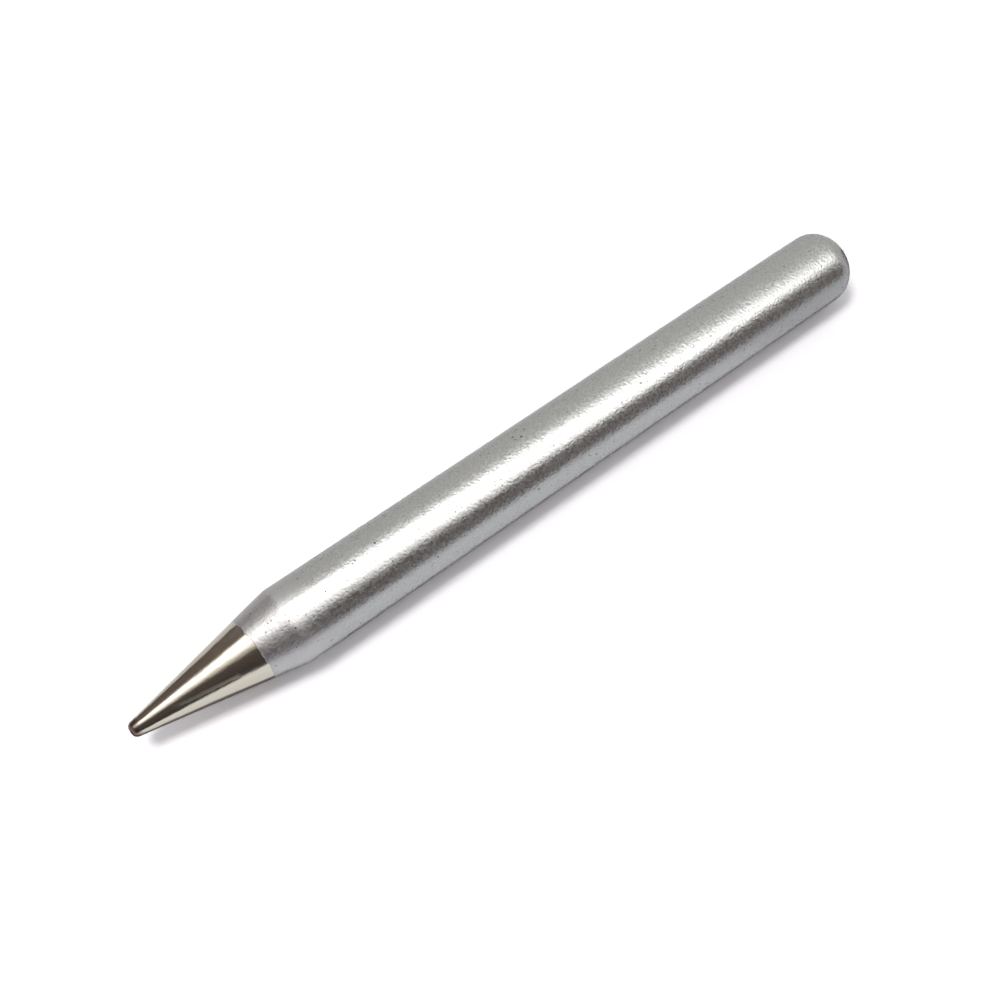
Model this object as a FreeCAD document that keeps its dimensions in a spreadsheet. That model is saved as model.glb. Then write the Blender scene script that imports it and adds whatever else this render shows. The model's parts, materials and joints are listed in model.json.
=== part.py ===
"""Replaceable tip of a soldering iron: one solid turned rod with a conical point.

The rod lies along X. Its rear end, which goes into the iron, seats at the origin, and
the point looks along -X. All sizes are in millimetres.
"""
import FreeCAD, Part
import os
import Sketcher

DOCUMENT_NAME = "soldering_iron_tip"
NODE_NAME = "iron_tip"
PARTS_FOLDER = "parts"

# Driving dimensions: alias, value and what it is on the tip.
SIZES = [
    ("OverallLength", 70.4, "rear end to point, along the axis"),
    ("ShankDiameter", 6.3, "straight shank, a free fit in a quarter inch socket"),
    ("ConeLength", 13.1, "shoulder to point, along the axis"),
    ("PointDiameter", 1.09, "across the very point, before its edge is rounded"),
    ("RearRounding", 2.3, "radius on the rear end's edge, which leads it into the socket"),
    ("ShoulderRadius", 2.0, "blend where the shank runs into the cone"),
    ("PointRounding", 0.45, "radius on the point's edge, which leaves only a small flat"),
]

# Two edges count as one circle if centre and radius agree this closely.
MATCH_TOLERANCE = 1e-4


def add_sizes(doc):
    """The spreadsheet that drives every sketch and fillet."""
    sheet = doc.addObject("Spreadsheet::Sheet", "Sizes")
    for row, (alias, value, note) in enumerate(SIZES, start=1):
        sheet.set(f"A{row}", alias)
        sheet.set(f"B{row}", str(value))
        sheet.set(f"C{row}", note)
        sheet.setAlias(f"B{row}", alias)
    doc.recompute()
    return sheet


def origin_plane(body, role):
    """One of the body's own origin planes, such as XZ_Plane."""
    for feature in body.Origin.OriginFeatures:
        if feature.Role == role:
            return feature
    raise ValueError(f"the body has no {role}")


def name_size(sketch, index, name, formula):
    """Give a sketch dimension its name and tie it to the spreadsheet."""
    sketch.renameConstraint(index, name)
    sketch.setExpression(f"Constraints.{name}", formula)


def draw_half_section(body, sheet):
    """Half of the tip's long section, above the axis: rear face, shank, cone, land."""
    shank_radius = sheet.ShankDiameter / 2
    point_radius = sheet.PointDiameter / 2
    point_x = -sheet.OverallLength
    shoulder_x = point_x + sheet.ConeLength
    corners = [
        (0, 0),
        (0, shank_radius),
        (shoulder_x, shank_radius),
        (point_x, point_radius),
        (point_x, 0),
    ]
    sketch = body.newObject("Sketcher::SketchObject", "HalfSection")
    sketch.AttachmentSupport = [(origin_plane(body, "XZ_Plane"), "")]
    sketch.MapMode = "FlatFace"

    points = [FreeCAD.Vector(x, y, 0) for x, y in corners]
    for start, end in zip(points, points[1:] + points[:1]):
        sketch.addGeometry(Part.LineSegment(start, end), False)
    rear, shank, cone, land, axis = range(len(points))

    for line in range(len(points)):
        after = (line + 1) % len(points)
        sketch.addConstraint(Sketcher.Constraint("Coincident", line, 2, after, 1))
    sketch.addConstraint(Sketcher.Constraint("Coincident", rear, 1, -1, 1))
    sketch.addConstraint(Sketcher.Constraint("Vertical", rear))
    sketch.addConstraint(Sketcher.Constraint("Horizontal", shank))
    sketch.addConstraint(Sketcher.Constraint("Vertical", land))
    sketch.addConstraint(Sketcher.Constraint("Horizontal", axis))

    length = sketch.addConstraint(
        Sketcher.Constraint("DistanceX", land, 2, rear, 1, sheet.OverallLength))
    name_size(sketch, length, "Overall", "Sizes.OverallLength")
    radius = sketch.addConstraint(
        Sketcher.Constraint("DistanceY", rear, 1, rear, 2, shank_radius))
    name_size(sketch, radius, "ShankRadius", "Sizes.ShankDiameter / 2")
    cone_run = sketch.addConstraint(
        Sketcher.Constraint("DistanceX", cone, 2, cone, 1, sheet.ConeLength))
    name_size(sketch, cone_run, "Cone", "Sizes.ConeLength")
    land_radius = sketch.addConstraint(
        Sketcher.Constraint("DistanceY", land, 2, land, 1, point_radius))
    name_size(sketch, land_radius, "LandRadius", "Sizes.PointDiameter / 2")
    return sketch


def turn(body, sketch):
    """Spin the half section about the tip's axis, as the lathe does."""
    turned = body.newObject("PartDesign::Revolution", "Turned")
    turned.Profile = sketch
    turned.ReferenceAxis = (sketch, ["H_Axis"])
    turned.Angle = 360
    sketch.Visibility = False
    return turned


def circle_at(shape, along, radius):
    """Name of the shape's full circle of this radius, at this distance along the axis."""
    for number, edge in enumerate(shape.Edges, start=1):
        if not isinstance(edge.Curve, Part.Circle):
            continue
        off = abs(edge.Curve.Center.x - along) + abs(edge.Curve.Radius - radius)
        if off < MATCH_TOLERANCE:
            return f"Edge{number}"
    raise ValueError(f"no circle of radius {radius} at {along} mm along the tip")


def round_edge(body, base, name, along, radius, size_alias):
    """Round one of the turned edges by a radius from the spreadsheet."""
    fillet = body.newObject("PartDesign::Fillet", name)
    fillet.Base = (base, [circle_at(base.Shape, along, radius)])
    fillet.setExpression("Radius", f"Sizes.{size_alias}")
    body.Document.recompute()
    return fillet


def build_tip(doc, sheet):
    """The whole tip: turned blank, then its three rounded edges."""
    body = doc.addObject("PartDesign::Body", "IronTip")
    body.Label = NODE_NAME
    sketch = draw_half_section(body, sheet)
    turned = turn(body, sketch)
    doc.recompute()

    shank_radius = sheet.ShankDiameter / 2
    point_radius = sheet.PointDiameter / 2
    point_x = -sheet.OverallLength
    shoulder_x = point_x + sheet.ConeLength
    rear = round_edge(body, turned, "RearEnd", 0, shank_radius, "RearRounding")
    shoulder = round_edge(
        body, rear, "Shoulder", shoulder_x, shank_radius, "ShoulderRadius")
    round_edge(body, shoulder, "Point", point_x, point_radius, "PointRounding")
    return body


def check(doc, body):
    """Stop before anything is written if a feature failed or the solid isn't sound."""
    for item in doc.Objects:
        if "Invalid" in item.State or "Error" in item.State:
            raise RuntimeError(f"{item.Name} failed: {item.State}")
    shape = body.Shape
    if shape.isNull() or not shape.isValid() or len(shape.Solids) != 1:
        raise RuntimeError(f"{body.Label} isn't one sound solid")


def write(body):
    """Save the solid under its node name."""
    os.makedirs(PARTS_FOLDER, exist_ok=True)
    body.Shape.exportStep(f"{PARTS_FOLDER}/{body.Label}.step")


def main():
    doc = FreeCAD.newDocument(DOCUMENT_NAME)
    sheet = add_sizes(doc)
    body = build_tip(doc, sheet)
    doc.recompute()
    check(doc, body)
    write(body)
    box = body.Shape.optimalBoundingBox()
    print(f"{body.Label}: {box.XLength:.3f} x {box.YLength:.3f} x {box.ZLength:.3f} mm, "
          f"volume {body.Shape.Volume:.2f} mm3, faces {len(body.Shape.Faces)}")


main()
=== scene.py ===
# %% [markdown]
# # A soldering iron tip
#
# The tip is a copper rod turned on a lathe. Most of it wears a matt silver coating that
# solder doesn't stick to. The front of the cone is left bare, polished and tinned, because
# that is where the solder has to run.
#
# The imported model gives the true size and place. Everything here is in metres, in the same
# frame: the rear end's flat is at the origin, and the point looks along -X.

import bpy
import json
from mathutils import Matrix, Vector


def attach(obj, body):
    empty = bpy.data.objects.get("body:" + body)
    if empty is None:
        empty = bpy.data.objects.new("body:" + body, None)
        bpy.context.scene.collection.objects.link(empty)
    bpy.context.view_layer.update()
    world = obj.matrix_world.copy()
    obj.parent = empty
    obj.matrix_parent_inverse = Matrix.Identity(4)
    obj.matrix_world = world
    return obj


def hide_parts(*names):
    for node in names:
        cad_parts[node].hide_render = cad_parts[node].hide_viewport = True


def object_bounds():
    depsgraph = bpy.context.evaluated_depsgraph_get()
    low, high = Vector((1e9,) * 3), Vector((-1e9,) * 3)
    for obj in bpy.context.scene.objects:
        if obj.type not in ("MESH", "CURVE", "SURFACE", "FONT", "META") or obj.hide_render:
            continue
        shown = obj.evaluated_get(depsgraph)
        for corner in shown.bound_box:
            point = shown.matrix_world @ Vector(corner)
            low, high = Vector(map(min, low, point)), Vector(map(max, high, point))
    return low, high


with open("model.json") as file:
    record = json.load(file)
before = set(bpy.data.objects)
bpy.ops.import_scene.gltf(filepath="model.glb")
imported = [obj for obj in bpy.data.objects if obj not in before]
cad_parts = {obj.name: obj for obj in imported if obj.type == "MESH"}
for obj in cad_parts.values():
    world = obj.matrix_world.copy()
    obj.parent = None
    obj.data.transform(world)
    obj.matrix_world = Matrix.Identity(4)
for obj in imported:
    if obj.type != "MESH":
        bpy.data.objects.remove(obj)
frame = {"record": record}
cad_low, cad_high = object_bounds()
print("the packed model spans", tuple(cad_low), "to", tuple(cad_high))

# %% Tools used below
import json
import math
from contextlib import contextmanager

import bpy
from mathutils import Vector

MM = 0.001

# %% [markdown]
# ## Sizes
#
# The length, the shank's radius and the straight stretch of the shank come from the frame,
# so that this script follows the model. Only what the frame doesn't say is written here.

# %% Sizes of the tip
mounts = {mount["name"]: mount for mount in frame["record"]["mounts"]}
shank = mounts["shank"]

LENGTH = cad_high.x - cad_low.x
RADIUS = cad_high.z
STRAIGHT = shank["dims"]["length_mm"] * MM
STRAIGHT_REAR = shank["pos_m"][0] + STRAIGHT / 2
STRAIGHT_FRONT = shank["pos_m"][0] - STRAIGHT / 2
POINT_X = cad_low.x
FLOOR_Z = cad_low.z

CONE_LENGTH = 13.1 * MM
POINT_RADIUS = 0.545 * MM
POINT_ROUNDING = 0.45 * MM
REAR_ROUNDING = -STRAIGHT_REAR
SHOULDER_X = POINT_X + CONE_LENGTH

print(f"length {LENGTH / MM:.1f} mm, radius {RADIUS / MM:.2f} mm, "
      f"straight from {STRAIGHT_REAR / MM:.1f} to {STRAIGHT_FRONT / MM:.1f} mm")

# %% [markdown]
# ## Turning the rod
#
# The rod could start from a cylinder, but then each rounding is a bevel of its own, and the
# long sides of the cone borrow their shading from the bevels at their ends. Here half of the
# outline is drawn instead, as one line of points from the middle of the rear end to the
# middle of the point, and spun round the axis. That is what the lathe did, too. Straight
# stretches get points at even steps, so that the long highlight stays clean on them.

# %% Edit mode in one line
@contextmanager
def edit_mode(piece):
    """Work on one mesh in edit mode with nothing else selected, then come back."""
    bpy.ops.object.select_all(action="DESELECT")
    bpy.context.view_layer.objects.active = piece
    piece.select_set(True)
    bpy.ops.object.mode_set(mode="EDIT")
    yield
    bpy.ops.object.mode_set(mode="OBJECT")


# %% Half of the outline
RING_STEP = 0.5 * MM
ARC_STEPS = 16
SHOULDER_STEPS = 6

cone_angle = math.atan((RADIUS - POINT_RADIUS) / CONE_LENGTH)


def arc(centre, radius, start, end, steps):
    """Points of an arc in the outline's plane; angles run from +X towards +Z."""
    turns = [start + (end - start) * step / steps for step in range(steps + 1)]
    return [(centre[0] + radius * math.cos(turn), centre[1] + radius * math.sin(turn))
            for turn in turns]


def run(start, end, step):
    """Points along a straight stretch, both ends left out."""
    pieces = max(1, round(math.dist(start, end) / step))
    return [tuple(a + (b - a) * piece / pieces for a, b in zip(start, end))
            for piece in range(1, pieces)]


def half_outline():
    """Rear end, shank, shoulder, cone and point, above the axis."""
    rear = arc((STRAIGHT_REAR, RADIUS - REAR_ROUNDING), REAR_ROUNDING,
               0, math.pi / 2, ARC_STEPS)
    blend = (STRAIGHT_FRONT - SHOULDER_X) / math.tan(cone_angle / 2)
    shoulder = arc((STRAIGHT_FRONT, RADIUS - blend), blend,
                   math.pi / 2, math.pi / 2 + cone_angle, SHOULDER_STEPS)
    inset = POINT_ROUNDING * math.tan((math.pi / 2 - cone_angle) / 2)
    point = arc((POINT_X + POINT_ROUNDING, POINT_RADIUS - inset), POINT_ROUNDING,
                math.pi / 2 + cone_angle, math.pi, ARC_STEPS)
    return ([(0, 0)] + rear + run(rear[-1], shoulder[0], RING_STEP) + shoulder
            + run(shoulder[-1], point[0], RING_STEP) + point + [(POINT_X, 0)])


outline = half_outline()
print(f"{len(outline)} points, cone half angle {math.degrees(cone_angle):.1f} degrees")

# %% Spin it
SPIN_STEPS = 192
SAME_POINT = 0.001 * MM


def turned_rod(name, points):
    """Draw the points one after another by extruding a vertex, then spin the line."""
    bpy.ops.object.select_all(action="DESELECT")
    bpy.ops.mesh.primitive_plane_add(size=MM, location=(0, 0, 0))
    made = bpy.context.object
    made.name = name
    with edit_mode(made):
        bpy.ops.mesh.select_all(action="SELECT")
        bpy.ops.mesh.merge(type="CENTER")
        for here, after in zip(points, points[1:]):
            step = (after[0] - here[0], 0, after[1] - here[1])
            bpy.ops.mesh.extrude_region_move(TRANSFORM_OT_translate={"value": step})
        bpy.ops.mesh.select_all(action="SELECT")
        bpy.ops.mesh.spin(steps=SPIN_STEPS, angle=2 * math.pi,
                          center=(0, 0, 0), axis=(1, 0, 0))
        bpy.ops.mesh.select_all(action="SELECT")
        bpy.ops.mesh.remove_doubles(threshold=SAME_POINT)
        bpy.ops.mesh.normals_make_consistent(inside=False)
    return made


rod = turned_rod("turned_tip", outline)
print(f"{rod.name}: {len(rod.data.vertices)} points, {len(rod.data.polygons)} faces, "
      f"size {tuple(round(side / MM, 3) for side in rod.dimensions)} mm")

# %% Smooth shading
SHARP_ANGLE = math.radians(40)

bpy.ops.object.select_all(action="DESELECT")
rod.select_set(True)
bpy.ops.object.shade_smooth_by_angle(angle=SHARP_ANGLE)
print(f"smooth, except at edges of more than {math.degrees(SHARP_ANGLE):.0f} degrees")

# %% [markdown]
# ## Shader maths as Python
#
# A finish is a lot of small sums: how far from the point, how rough, how dark. Wiring them
# by hand hides the idea, so here a wire can be added, subtracted and multiplied like a
# number. Every other node comes from one method that takes its type, settings and inputs.

# %% Wires
class Wire:
    """An output socket. A sum on it adds a Math node to its tree."""

    def __init__(self, wiring, socket):
        self.wiring = wiring
        self.socket = socket

    def maths(self, operation, first, second):
        """A Math node on two numbers or wires."""
        return self.wiring.node("ShaderNodeMath", {"operation": operation},
                                {0: first, 1: second})

    def __add__(self, other):
        return self.maths("ADD", self, other)

    __radd__ = __add__

    def __sub__(self, other):
        return self.maths("SUBTRACT", self, other)

    def __rsub__(self, other):
        return self.maths("SUBTRACT", other, self)

    def __mul__(self, other):
        return self.maths("MULTIPLY", self, other)

    __rmul__ = __mul__


# %% A node tree under construction
class Wiring:
    """The nodes of a finish, a lamp or the air."""

    def __init__(self, tree):
        self.tree = tree
        tree.nodes.clear()

    def node(self, kind, settings=None, inputs=None, output=0):
        """Add a node: its settings first, then its inputs by name or number."""
        made = self.tree.nodes.new(kind)
        for name, value in (settings or {}).items():
            setattr(made, name, value)
        for name, value in (inputs or {}).items():
            if isinstance(value, Wire):
                self.tree.links.new(value.socket, made.inputs[name])
            else:
                made.inputs[name].default_value = value
        return Wire(self, made.outputs[output])

    def axis(self, vector, letter):
        """One axis of a vector."""
        return self.node("ShaderNodeSeparateXYZ", inputs={0: vector}, output=letter)

    def along(self, vector, direction):
        """How far a vector goes in a direction."""
        return self.node("ShaderNodeVectorMath", {"operation": "DOT_PRODUCT"},
                         {0: vector, 1: direction}, output="Value")

    def noise(self, place, per_mm, detail=2.0):
        """Cloudy noise from 0 to 1, with this many features to a millimetre."""
        return self.node("ShaderNodeTexNoise", inputs={
            "Vector": place, "Scale": per_mm, "Detail": detail})

    def nearest(self, place, per_mm):
        """How far the nearest of many scattered points is, in steps of their spacing."""
        return self.node("ShaderNodeTexVoronoi", inputs={
            "Vector": place, "Scale": per_mm}, output="Distance")

    def ease(self, value, start, end, low=0.0, high=1.0):
        """Smooth step of a value, from low at start to high at end."""
        return self.node("ShaderNodeMapRange", {"interpolation_type": "SMOOTHSTEP"},
                         {"Value": value, "From Min": start, "From Max": end,
                          "To Min": low, "To Max": high})

    def between(self, value, first, second):
        """1 between two soft edges, each given as where it starts and where it is full."""
        return self.ease(value, *first) * self.ease(value, *second)

    def mix(self, share, first, second):
        """Colour between two colours."""
        return self.node("ShaderNodeMix", {"data_type": "RGBA"},
                         {0: share, 6: first, 7: second}, output=2)

    def end(self, kind, shader):
        """Wire the shader to the tree's output."""
        last = self.tree.nodes.new(kind)
        self.tree.links.new(shader.socket, last.inputs["Surface"])


# %% [markdown]
# ## The line where the coating ends
#
# One rod, two finishes that meet in a slightly uneven line round the cone. They could be two
# materials on two rings of faces, but then the line would be a clean circle. Here one
# material holds both, and a mask chooses: the distance from the point, tilted a little and
# with a fine wave, as the photo's line is. All places on the tip are in millimetres,
# measured on the rod itself.

# %% The mask of the coating
# How far behind the point the line lies, how soft it is, how far it moves for each
# millimetre across and up, and its wave.
BARE_LENGTH = 10.2
EDGE_SOFT = 0.02
EDGE_TILT = (0, 0.050, 0.025)
EDGE_WAVES_PER_MM = 1.6
EDGE_WAVE = 0.36


def place_on_tip(wiring):
    """Place on the piece in millimetres, from the row's origin."""
    metres = wiring.node("ShaderNodeTexCoord", output="Object")
    return wiring.node("ShaderNodeVectorMath", {"operation": "SCALE"},
                       {0: metres, "Scale": 1 / MM})


def coated_mask(wiring, place, from_point):
    """0 on the bare cone, 1 on the coating."""
    wave = (wiring.noise(place, EDGE_WAVES_PER_MM, detail=3.0) - 0.5) * EDGE_WAVE
    edge = from_point + wiring.along(place, EDGE_TILT) + wave
    return wiring.ease(edge, BARE_LENGTH - EDGE_SOFT, BARE_LENGTH + EDGE_SOFT)


# %% [markdown]
# ## The matt coating
#
# The coating is a thin metal layer of fine grains. They break up the edges of the highlight,
# and where one is missing there is a dark pit. Grains and pits are a few tenths of a
# millimetre wide, so modelling them would take millions of faces, and bump does it as
# well. The grains change the roughness too, because a rough grain still catches the lamp
# where a smooth one shows the dark room. That is what makes the dark stripe look sandy and
# leaves the even stripes even. The pits also get a painted shade in their colour: they are
# dark from every side, as the shade inside a hole is. Towards its front edge the coating is
# a little paler and duller.

# %% Pits
# How many to a millimetre, how large, how many are too small to show, how soft the rim is.
LARGE_PITS = (1.0, 0.45, 0.44, 0.03)
SMALL_PITS = (2.8, 1.10, 0.41, 0.08)
# The size changes over about one and a half spacings.
PIT_SIZE_CHANGE = 0.7
# Painted shade inside the pits.
PAINTED_PIT_SHADE = (0.04, 0.04, 0.04, 1)


def pits(wiring, place, per_mm, size, missing, rim):
    """1 in the pits: small balls scattered in space, of which the skin cuts a few."""
    reach = (wiring.noise(place, PIT_SIZE_CHANGE * per_mm) - missing) * size
    return wiring.ease(wiring.nearest(place, per_mm) - reach, 0.0, -rim)


# %% The coating
COATING_COLOUR = (0.451, 0.451, 0.441, 1)
COATING_DARK = (0.418, 0.418, 0.408, 1)
COATING_WORN = (0.50, 0.49, 0.485, 1)

# The wear begins 16.5 mm behind the point and is full at 12.5 mm.
WORN = (16.5, 12.5)
# Depths are in millimetres. Noise from 0.38 to 0.62 is the slope of a grain.
GRAINS_PER_MM, GRAIN_DEPTH, GRAIN_EDGE = 5.0, 0.018, (0.38, 0.62)
SPECKS_PER_MM, SPECK_DEPTH = 4.5, 0.008
LUMPS_PER_MM, LUMP_DEPTH = 1.5, 0.008
SMALL_PIT_DEPTH, SMALL_PIT_SHADE = 0.01, 0.55
COATING_STEP = 0.02
# From 14 to 45 mm behind the point the grains grow from 0.62 to 0.93 of their depth.
COARSER = (14, 45, 0.62, 0.93)
# The coating's roughness, and what grains, lumps and wear add to it.
COATING_ROUGH, GRAIN_ROUGH, LUMP_ROUGH, WORN_ROUGH = 0.24, 0.08, 0.04, 0.11


def coating(wiring, place, from_point, lumps):
    """Colour, roughness and height of the coating, with its small pits and their painted
    shade.
    """
    grain = wiring.noise(place, GRAINS_PER_MM, detail=1.0)
    raised = wiring.ease(grain, *GRAIN_EDGE)
    specks = wiring.nearest(place, SPECKS_PER_MM)
    small_pits = pits(wiring, place, *SMALL_PITS)
    worn = wiring.ease(from_point, *WORN)

    colour = wiring.mix(raised, COATING_DARK, COATING_COLOUR)
    colour = wiring.mix(worn, colour, COATING_WORN)
    # Painted shade in the small pits.
    colour = wiring.mix(small_pits * SMALL_PIT_SHADE, colour, PAINTED_PIT_SHADE)
    rough = COATING_ROUGH + raised * GRAIN_ROUGH + lumps * LUMP_ROUGH + worn * WORN_ROUGH
    grains = (grain * GRAIN_DEPTH + specks * SPECK_DEPTH) * wiring.ease(from_point, *COARSER)
    height = COATING_STEP + grains + lumps * LUMP_DEPTH - small_pits * SMALL_PIT_DEPTH
    return colour, rough, height


# %% [markdown]
# ## The tinned cone
#
# The bare cone is polished and tinned: nearly a mirror, a little warm, with faint streaks
# along it that the tinning leaves. The streaks are noise stretched along the axis, which
# needs no texture laid round the cone. The tip has been used, so it has a thin dull smear of
# flux down one side and burnt flux at the very point. The smear follows the line in which
# a slanted plane cuts the near side of the cone.

# %% A smear left by the flux
# The plane, the soft sides beside it, the soft ends behind the point, how far it has to
# lie on the near side, and its wave.
SMEAR_ACROSS = (0.064, 0.647, 0.760)
SMEAR_PLACE = -4.09
SMEAR_SIDES = ((-0.22, -0.10), (0.20, 0.05))
SMEAR_ENDS = ((2.8, 4.2), (8.5, 7.9))
SMEAR_NEAR_SIDE = (0.0, -0.2)
SMEAR_WAVES_PER_MM = 2.5
SMEAR_WAVE = 0.12


def flux_smear(wiring, place, from_point):
    """1 in a narrow dull streak down the cone's near side."""
    wave = (wiring.noise(place, SMEAR_WAVES_PER_MM) - 0.5) * SMEAR_WAVE
    across = wiring.along(place, SMEAR_ACROSS) - SMEAR_PLACE + wave
    stripe = wiring.between(across, *SMEAR_SIDES) * wiring.between(from_point, *SMEAR_ENDS)
    return stripe * wiring.ease(wiring.axis(place, "Y"), *SMEAR_NEAR_SIDE)


# %% The tinned metal
TIN_COLOUR = (0.61, 0.57, 0.475, 1)
FLUX_COLOUR = (0.16, 0.10, 0.085, 1)
# Burnt flux begins 1.7 mm behind the point and is full at 0.9 mm, less a wave.
BURNT = (1.7, 0.9)
BURNT_WAVE = 1.2
BURNT_SHADE = 0.85

# Streaks are three times as long as they are wide.
STREAK_STRETCH = (0.3, 1.0, 1.0)
STREAKS_PER_MM, STREAK_DEPTH = 3.0, 0.010
TIN_ROUGH, STREAK_ROUGH, BURNT_ROUGH, SMEAR_ROUGH = 0.13, 0.06, 0.10, 0.17


def tinned_metal(wiring, place, from_point, lumps):
    """Colour, roughness and height of the bare cone."""
    stretched = wiring.node("ShaderNodeVectorMath", {"operation": "MULTIPLY"},
                            {0: place, 1: STREAK_STRETCH})
    streaks = wiring.noise(stretched, STREAKS_PER_MM)
    burnt = wiring.ease(from_point + lumps * BURNT_WAVE, *BURNT)
    smear = flux_smear(wiring, place, from_point)

    colour = wiring.mix(burnt * BURNT_SHADE, TIN_COLOUR, FLUX_COLOUR)
    rough = (TIN_ROUGH + streaks * STREAK_ROUGH + burnt * BURNT_ROUGH
             + smear * SMEAR_ROUGH)
    return colour, rough, streaks * STREAK_DEPTH


# %% Both on one rod
LARGE_PIT_DEPTH, LARGE_PIT_ROUGH = 0.05, 0.3


def tip_finish():
    """The matt coating, the tinned metal and the line where they meet."""
    material = bpy.data.materials.new("coated_and_tinned_metal")
    material.use_nodes = True
    wiring = Wiring(material.node_tree)
    place = place_on_tip(wiring)
    from_point = wiring.axis(place, "X") - POINT_X / MM
    lumps = wiring.noise(place, LUMPS_PER_MM, detail=1.0)
    coated = coated_mask(wiring, place, from_point)
    bare = 1 - coated
    large_pits = pits(wiring, place, *LARGE_PITS) * coated
    silver, silver_rough, silver_height = coating(wiring, place, from_point, lumps)
    tin, tin_rough, tin_height = tinned_metal(wiring, place, from_point, lumps)

    # Painted shade in the large pits of the coating.
    colour = wiring.mix(large_pits, wiring.mix(coated, tin, silver), PAINTED_PIT_SHADE)
    rough = coated * silver_rough + bare * tin_rough + large_pits * LARGE_PIT_ROUGH
    height = coated * silver_height + bare * tin_height - large_pits * LARGE_PIT_DEPTH
    bump = wiring.node("ShaderNodeBump", inputs={"Distance": MM, "Height": height})
    metal = wiring.node("ShaderNodeBsdfPrincipled", inputs={
        "Base Color": colour, "Metallic": 1.0, "Roughness": rough, "Normal": bump})
    wiring.end("ShaderNodeOutputMaterial", metal)
    return material


rod.data.materials.clear()
rod.data.materials.append(tip_finish())
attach(rod, "root")
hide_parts("iron_tip")
print("the rod's finish has", len(rod.data.materials[0].node_tree.nodes), "nodes")

# %% [markdown]
# ## The table and the light
#
# The tip lies on white paper. A bright metal has hardly any colour of its own: it shows
# what is round it, so the surroundings are laid out as carefully as the tip. A studio
# photographer sets the lamps for the metal and the light for the paper apart, and so does
# this scene. The Light Path node tells what a ray came from, and the surroundings answer by
# that: the camera sees white paper in white air, the metal sees the room and the lamps, and
# the paper is lit softly from all round, with one lamp that casts the shadow.

# %% What the eye and a mirror see
def seen_directly(wiring):
    """1 for rays from the camera, and 1 for rays from a mirror or glass."""
    rays = ("Is Camera Ray", "Is Glossy Ray", "Is Transmission Ray")
    camera, glossy, glass = (wiring.node("ShaderNodeLightPath", output=ray) for ray in rays)
    return camera, glossy + glass


def stage_finish(name):
    """An empty material and its wiring, for the table and the room."""
    material = bpy.data.materials.new(name)
    material.use_nodes = True
    return material, Wiring(material.node_tree)


# %% [markdown]
# ### The paper
#
# The lowest stripes on the metal are the paper. It isn't evenly bright in the photo: it is
# dark under the rod, where the shadow lies, a little darker round the rear end and on the
# far side, and it fades out within a hand's breadth in front of the rod. It could be shaded
# by real cards and lamps, but each of those would change the shadow too. So for mirror rays
# the paper has painted light and shade by the place on it: painted light in front of the
# rod, painted shade round the rear end, on the far side and farther out in front, and a
# painted shadow under the rod.

# %% What the metal shows of the paper: its painted light and shade
# In this order: painted light in front of the rod, painted shade round the rear end and on
# the far side, a painted shadow under the rod, and painted shade farther out in front.
PAPER_NEAR_PAINTED_LIGHT = (1.30, 1.32, 1.40, 1)
PAPER_BEHIND_PAINTED_SHADE = (0.98, 0.99, 1.05, 1)
PAPER_FAR_PAINTED_SHADE = (0.88, 0.88, 0.88, 1)
PAPER_PAINTED_SHADOW = (0.24, 0.22, 0.23, 1)
PAPER_AWAY_PAINTED_SHADE = (0.22, 0.19, 0.18, 1)
# Places along the rod for the first edge, and across it for the others.
BEHIND_EDGE = (-14 * MM, -4 * MM)
FAR_EDGE = (-20 * MM, 20 * MM)
UNDER_EDGES = ((-3.8 * MM, -3.1 * MM), (RADIUS, RADIUS - MM))
AWAY_EDGE = (-15 * MM, -100 * MM)


def painted_paper_light_in_metal(wiring):
    """The paper's painted light and shade for mirror rays, by the place on the paper."""
    on_paper = wiring.node("ShaderNodeTexCoord", output="Object")
    along, across = (wiring.axis(on_paper, letter) for letter in "XY")
    # Painted light in front of the rod, painted shade behind it and on the far side, a
    # painted shadow under it and painted shade farther out in front.
    colour = wiring.mix(wiring.ease(along, *BEHIND_EDGE), PAPER_NEAR_PAINTED_LIGHT, PAPER_BEHIND_PAINTED_SHADE)
    colour = wiring.mix(wiring.ease(across, *FAR_EDGE), colour, PAPER_FAR_PAINTED_SHADE)
    colour = wiring.mix(wiring.between(across, *UNDER_EDGES), colour, PAPER_PAINTED_SHADOW)
    return wiring.mix(wiring.ease(across, *AWAY_EDGE), colour, PAPER_AWAY_PAINTED_SHADE)


# %% White paper
PAPER_SIZE = 4.0
PAPER_COLOUR = (0.86, 0.84, 0.88, 1)
PAPER_SEEN = (1.46, 1.42, 1.475, 1)

bpy.ops.object.select_all(action="DESELECT")
bpy.ops.mesh.primitive_plane_add(size=PAPER_SIZE, location=(0, 0, FLOOR_Z))
paper = bpy.context.object
paper.name = "paper"
material, wiring = stage_finish("white_paper")
seen, mirrored = seen_directly(wiring)
white = wiring.mix(seen, PAPER_COLOUR, PAPER_SEEN)
# Mirror rays see the paper's painted light and shade instead.
white = wiring.mix(mirrored, white, painted_paper_light_in_metal(wiring))
wiring.end("ShaderNodeOutputMaterial",
           wiring.node("ShaderNodeBsdfDiffuse", inputs={"Color": white}))
paper.data.materials.append(material)
print(f"{paper.name}: {PAPER_SIZE} m square, {FLOOR_Z / MM:.2f} mm below the axis")

# %% [markdown]
# ### The room
#
# The dark stripes on the metal are the room, which is a little lighter low down on the near
# side. The grey stripe along the far side is a pale wall beyond the rear end. A ball round
# the table does for all of it: its colour depends only on the direction in which it is seen
# from the tip. The photo doesn't show what lies beyond the point. It is pale here too, so
# that the rod isn't black from the rear.

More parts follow.
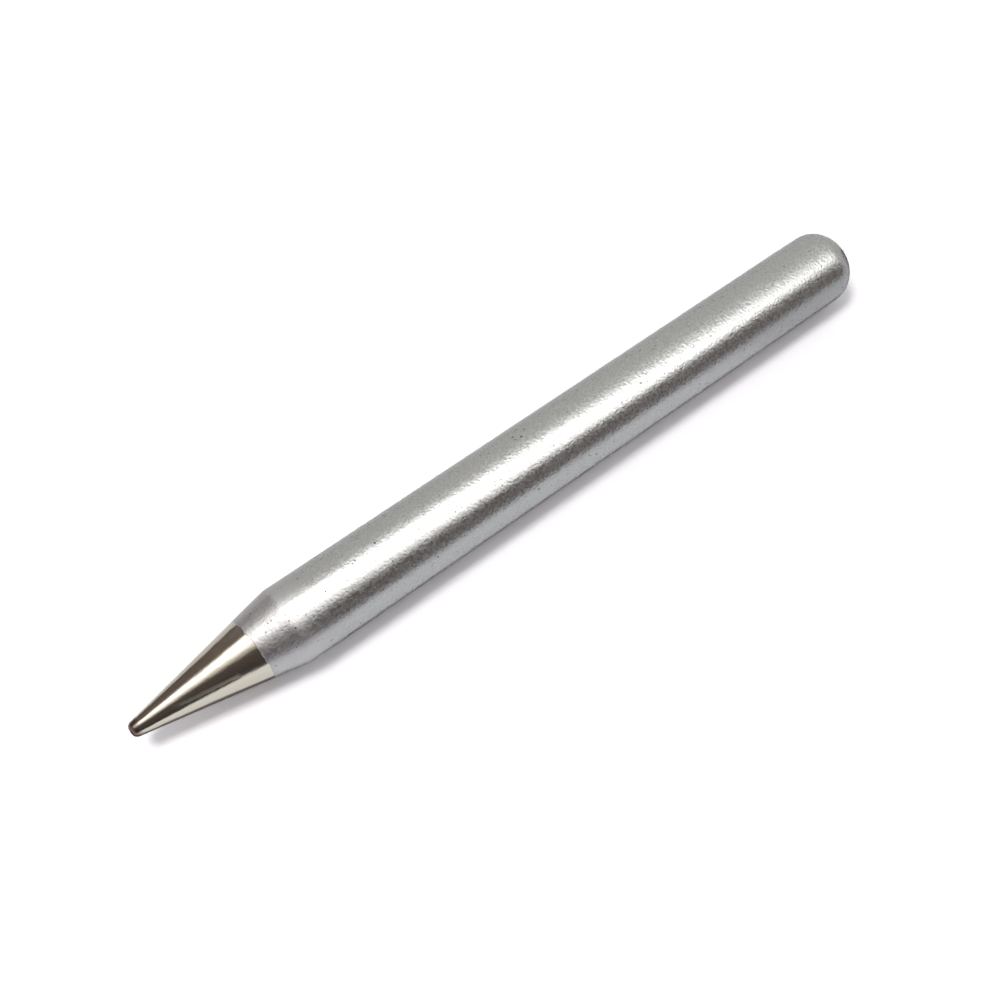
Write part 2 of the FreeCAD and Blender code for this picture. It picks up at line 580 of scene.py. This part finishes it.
# %% What the metal shows of the room
# The edges are places on the ball: how far over or along a direction, from -1 to 1.
ROOM_NEAR = (0.086, 0.069, 0.064, 1)
ROOM_FAR = (0.145, 0.113, 0.108, 1)
ROOM_SIDES = (-0.5, 0.5)
ROOM_LOW = (0.205, 0.174, 0.170, 1)
LOW_EDGE = (0.53, 0.37)
LOW_SIDE = (-0.3, -0.7)
ROOM_CORNER = (0.062, 0.054, 0.056, 1)
CORNER_EDGE = (-0.25, 0.1)
ROOM_FRONT = (0.60, 0.595, 0.59, 1)
FRONT_EDGE = (-0.62, -0.86)
WALL_COLOUR = (0.76, 0.755, 0.74, 1)
WALL_TOWARDS = (0.831, 0.434, 0.348)
WALL_EDGE = (0.37, 0.54)


def room_colour(wiring):
    """The room's colour, by the direction in which it lies."""
    outward = wiring.node("ShaderNodeVectorMath", {"operation": "NORMALIZE"},
                          {0: wiring.node("ShaderNodeTexCoord", output="Object")})
    to_rear, to_far, up = (wiring.axis(outward, letter) for letter in "XYZ")
    colour = wiring.mix(wiring.ease(to_far, *ROOM_SIDES), ROOM_NEAR, ROOM_FAR)
    low = wiring.ease(up, *LOW_EDGE) * wiring.ease(to_far, *LOW_SIDE)
    low_colour = wiring.mix(wiring.ease(to_rear, *CORNER_EDGE), ROOM_CORNER, ROOM_LOW)
    colour = wiring.mix(low, colour, low_colour)
    colour = wiring.mix(wiring.ease(to_rear, *FRONT_EDGE), colour, ROOM_FRONT)
    wall = wiring.ease(wiring.along(outward, WALL_TOWARDS), *WALL_EDGE)
    return wiring.mix(wall, colour, WALL_COLOUR)


# %% The room
ROOM_RADIUS = 1.8

bpy.ops.object.select_all(action="DESELECT")
bpy.ops.mesh.primitive_uv_sphere_add(segments=64, ring_count=32, radius=ROOM_RADIUS,
                                     location=(-LENGTH / 2, 0, 0))
room = bpy.context.object
room.name = "dark_room"
material, wiring = stage_finish("dark_room")
wiring.end("ShaderNodeOutputMaterial", wiring.node(
    "ShaderNodeEmission", inputs={"Color": room_colour(wiring)}))
room.data.materials.append(material)
room.visible_camera = False
room.visible_diffuse = False
room.visible_shadow = False
room.visible_transmission = False
print(f"{room.name}: {ROOM_RADIUS} m round the middle of the tip")

# %% [markdown]
# ### The lamps that the metal shows
#
# The white stripe is a wide panel overhead, turned a little against the rod. Its sides are
# soft, and each is soft in its own way, so the lamp's own light is faded towards them. Just
# under the panel hangs a small bright lamp, which lights up the shoulder. It isn't in the
# panel's plane, because of two lamps in one plane Cycles shows only one in a mirror.

# %% A lamp in the scene
def hang(name, lamp, place):
    """Hang a lamp in its place, out of the camera's sight."""
    holder = bpy.data.objects.new(name, lamp)
    bpy.context.scene.collection.objects.link(holder)
    holder.location = place
    holder.visible_camera = False
    print(f"{name}: {lamp.size:.2f} x {lamp.size_y:.2f} m, {lamp.energy:.1f} W")
    return holder


# %% A lamp with soft sides, seen only in the metal
# The height in metres, the turn in radians, and the place from which the sides count.
LAMP_HEIGHT = 0.6
LAMP_TURN = -0.854
LAMP_MIDDLE = Vector((0.242 * LAMP_HEIGHT - 35 * MM, -0.129 * LAMP_HEIGHT, LAMP_HEIGHT))


def soft_lamp(name, radiance, left, right, near, far, lower=0, skew=0):
    """A lamp facing down. Each side fades out round its own place, over its own distance.

    The sides are given as they look from the tip: sideways distance by height. Skew slants
    the near side, and lower hangs the lamp below the others."""
    sides = [[edge * LAMP_HEIGHT, soft * LAMP_HEIGHT]
             for edge, soft in (left, right, near, far)]
    low_u, high_u, low_w, high_w = (edge + sign * soft for (edge, soft), sign
                                    in zip(sides, (-1, 1, -1, 1)))
    lamp = bpy.data.lights.new(name, "AREA")
    lamp.shape = "RECTANGLE"
    lamp.size, lamp.size_y = high_u - low_u, high_w - low_w
    lamp.energy = radiance * math.pi * lamp.size * lamp.size_y

    across = Vector((math.cos(LAMP_TURN), math.sin(LAMP_TURN), 0))
    deep = Vector((-across.y, across.x, 0))
    lamp.use_nodes = True
    wiring = Wiring(lamp.node_tree)
    spot = wiring.node("ShaderNodeNewGeometry", output="Position")
    glow = 1
    facing = (across, across, deep - skew * across, deep)
    for (edge, soft), direction, sign in zip(sides, facing, (1, -1, 1, -1)):
        off = wiring.along(spot, direction) - LAMP_MIDDLE.dot(direction)
        glow = wiring.ease(off, edge - sign * soft, edge + sign * soft) * glow
    wiring.end("ShaderNodeOutputLight",
               wiring.node("ShaderNodeEmission", inputs={"Strength": glow}))

    place = LAMP_MIDDLE + across * (low_u + high_u) / 2 + deep * (low_w + high_w) / 2
    holder = hang(name, lamp, place - Vector((0, 0, lower)))
    holder.rotation_euler = (0, 0, LAMP_TURN)
    holder.visible_diffuse = False


# %% The wide panel and the bright lamp just under it
LAMP_GAP = 5 * MM

soft_lamp("wide_panel", 4.0, left=(-0.791, 0.169), right=(0.935, 0.125),
          near=(-0.325, 0.460), far=(0.228, 0.195), skew=0.09)
soft_lamp("bright_lamp", 34.6, left=(-0.299, 0.029), right=(-0.183, 0.029),
          near=(-0.150, 0.023), far=(-0.012, 0.023), lower=LAMP_GAP)

# %% [markdown]
# ### The light on the paper
#
# The photo's shadow is even and pale inside and fades out quickly, as a lamp of about this
# size leaves it while the rest of the light comes from all round. The key lamp casts it and
# isn't seen in the metal. The air gives the rest. Together they light the paper so that a
# colour looks about as it is written.

# %% The lamp that casts the shadow
# The share of a colour that this lamp lights, its sides by its height, and its place.
KEY_LEVEL = 0.48
KEY_SIDES = (0.30, 0.24)
KEY_MIDDLE = (-LENGTH / 2 - 0.35 * LAMP_HEIGHT, 0.02 * LAMP_HEIGHT, LAMP_HEIGHT)

key = bpy.data.lights.new("key_lamp", "AREA")
key.shape = "RECTANGLE"
key.size, key.size_y = (side * LAMP_HEIGHT for side in KEY_SIDES)
key.energy = KEY_LEVEL * math.pi ** 2 * LAMP_HEIGHT ** 2
hang("key_lamp", key, KEY_MIDDLE).visible_glossy = False

# %% The air round the scene
# The air lights this share of a colour. The camera and the metal see it in full.
AIR_COLOUR = (1, 1, 1, 1)
AIR_LEVEL = 0.432

air = bpy.data.worlds.new("studio_air")
bpy.context.scene.world = air
air.use_nodes = True
wiring = Wiring(air.node_tree)
seen, mirrored = seen_directly(wiring)
level = wiring.ease(seen + mirrored, 0.0, 1.0, low=AIR_LEVEL, high=1.0)
wiring.end("ShaderNodeOutputWorld", wiring.node(
    "ShaderNodeBackground", inputs={"Color": AIR_COLOUR, "Strength": level}))
print("the air lights at", AIR_LEVEL, "and looks white")

# %% [markdown]
# ## The camera
#
# The camera was worked out from the photo: a rod of these proportions shows this outline
# only from one place. It stands in front and a little beyond the point, and looks steeply
# down at the middle of the rod.

# %% Camera
CAMERA_PLACE = Vector((-71.70, -43.13, 87.68)) * MM
CAMERA_AIM = Vector((-37.07, 0.25, -3.15)) * MM
LENS = 47.7
NEAREST, FARTHEST = 1 * MM, 10.0

camera_data = bpy.data.cameras.new("camera")
camera_data.lens = LENS
camera_data.clip_start, camera_data.clip_end = NEAREST, FARTHEST
camera = bpy.data.objects.new("camera", camera_data)
bpy.context.scene.collection.objects.link(camera)
camera.location = CAMERA_PLACE
camera.rotation_euler = (CAMERA_AIM - CAMERA_PLACE).to_track_quat("-Z", "Y").to_euler()
bpy.context.scene.camera = camera
bpy.context.scene.view_settings.view_transform = "Standard"
print("camera at", tuple(camera.location), "lens", camera_data.lens)
